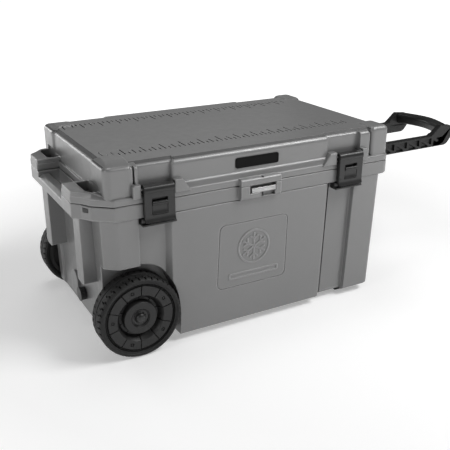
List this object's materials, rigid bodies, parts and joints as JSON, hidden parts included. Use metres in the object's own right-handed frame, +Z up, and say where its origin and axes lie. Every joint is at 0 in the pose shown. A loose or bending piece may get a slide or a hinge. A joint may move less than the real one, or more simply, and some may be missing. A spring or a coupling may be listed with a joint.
{
  "type": "wheeled cooler",
  "caption": "Long insulated box cooler with a hinged lid, press-button latches, two wheels at one end, a moulded carry bar and a fold-down trolley handle",
  "frame": {"origin": "middle of the bounding box, on the floor, with the trolley handle raised", "axes": "+X along the length towards the trolley handle, -Y the latch side, +Z up"},
  "size_m": [1.316, 0.556, 0.507],
  "materials": {
    "shell_grey": "fine moulded grain",
    "liner_white": "smooth",
    "foam": "rigid foam",
    "trim_black": "satin glass-filled nylon",
    "seal_rubber": "matte",
    "tyre_rubber": "matte",
    "steel": "brushed"
  },
  "bodies": {
    "tub": {"tub_shell": "shell_grey", "tub_liner": "liner_white", "tub_foam_core": "foam", "rubber_foot_front": "seal_rubber", "rubber_foot_rear": "seal_rubber", "seam_insert_front": "trim_black", "seam_insert_rear": "trim_black", "drain_fitting": "trim_black", "lock_plate": "steel", "latch_catch_left": "trim_black", "latch_catch_right": "trim_black", "axle": "steel", "axle_tube": "steel", "axle_washer_front": "steel", "axle_washer_rear": "steel", "handle_bracket_front": "trim_black", "handle_bracket_rear": "trim_black", "handle_pivot_pin_front": "steel", "handle_pivot_pin_rear": "steel", "handle_bracket_bolt_front_a": "steel", "handle_bracket_bolt_front_b": "steel", "handle_bracket_bolt_rear_a": "steel", "handle_bracket_bolt_rear_b": "steel", "lid_hinge_pin_left": "steel", "lid_hinge_pin_right": "steel"},
    "lid": {"lid_shell": "shell_grey", "lid_liner": "liner_white", "lid_foam_core": "foam", "lid_gasket": "seal_rubber", "nameplate": "trim_black", "latch_pin_left": "steel", "latch_pin_right": "steel"},
    "latch_left": {"latch_left": "trim_black"},
    "latch_right": {"latch_right": "trim_black"},
    "button_left": {"latch_button_left": "trim_black"},
    "button_right": {"latch_button_right": "trim_black"},
    "wheel_front": {"wheel_front_tyre": "tyre_rubber", "wheel_front_hub": "trim_black", "wheel_front_bush": "liner_white", "wheel_front_cap": "trim_black"},
    "wheel_rear": {"wheel_rear_tyre": "tyre_rubber", "wheel_rear_hub": "trim_black", "wheel_rear_bush": "liner_white", "wheel_rear_cap": "trim_black"},
    "handle": {"handle_arm_front": "trim_black", "handle_arm_rear": "trim_black", "handle_grip": "trim_black"},
    "plug_seal": {"drain_plug_gasket": "seal_rubber"},
    "plug": {"drain_plug": "trim_black"}
  },
  "joints": [
    {"name": "lid_hinge", "type": "hinge", "parent": "tub", "child": "lid", "pos_m": [-0.176, 0.266, 0.4065], "axis": [-1, 0, 0], "range_deg": [0, 95]},
    {"name": "latch_left_hinge", "type": "hinge", "parent": "lid", "child": "latch_left", "pos_m": [-0.469, -0.262, 0.44], "axis": [-1, 0, 0], "range_deg": [0, 110]},
    {"name": "latch_right_hinge", "type": "hinge", "parent": "lid", "child": "latch_right", "pos_m": [0.1, -0.262, 0.44], "axis": [-1, 0, 0], "range_deg": [0, 110]},
    {"name": "button_left_press", "type": "slide", "parent": "latch_left", "child": "button_left", "axis": [0, 1, 0], "range_m": [0, 0.004], "stiffness_N_per_m": 600},
    {"name": "button_right_press", "type": "slide", "parent": "latch_right", "child": "button_right", "axis": [0, 1, 0], "range_m": [0, 0.004], "stiffness_N_per_m": 600},
    {"name": "wheel_front_spin", "type": "hinge", "parent": "tub", "child": "wheel_front", "pos_m": [-0.53, -0.242, 0.1085], "axis": [0, 1, 0], "continuous": true},
    {"name": "wheel_rear_spin", "type": "hinge", "parent": "tub", "child": "wheel_rear", "pos_m": [-0.53, 0.242, 0.1085], "axis": [0, 1, 0], "continuous": true},
    {"name": "handle_fold", "type": "hinge", "parent": "tub", "child": "handle", "pos_m": [0.279, 0, 0.382], "axis": [0, 1, 0], "range_deg": [0, 90]},
    {"name": "drain_plug_travel", "type": "slide", "parent": "tub", "child": "plug_seal", "axis": [-1, 0, 0], "range_m": [0, 0.0091]},
    {"name": "drain_plug_turn", "type": "hinge", "parent": "plug_seal", "child": "plug", "pos_m": [-0.601, -0.022, 0.084], "axis": [-1, 0, 0], "range_deg": [0, 1080]}
  ],
  "couplings": [
    {"joint": "drain_plug_travel", "follows": "drain_plug_turn", "m_per_rad": 0.00047746}
  ]
}
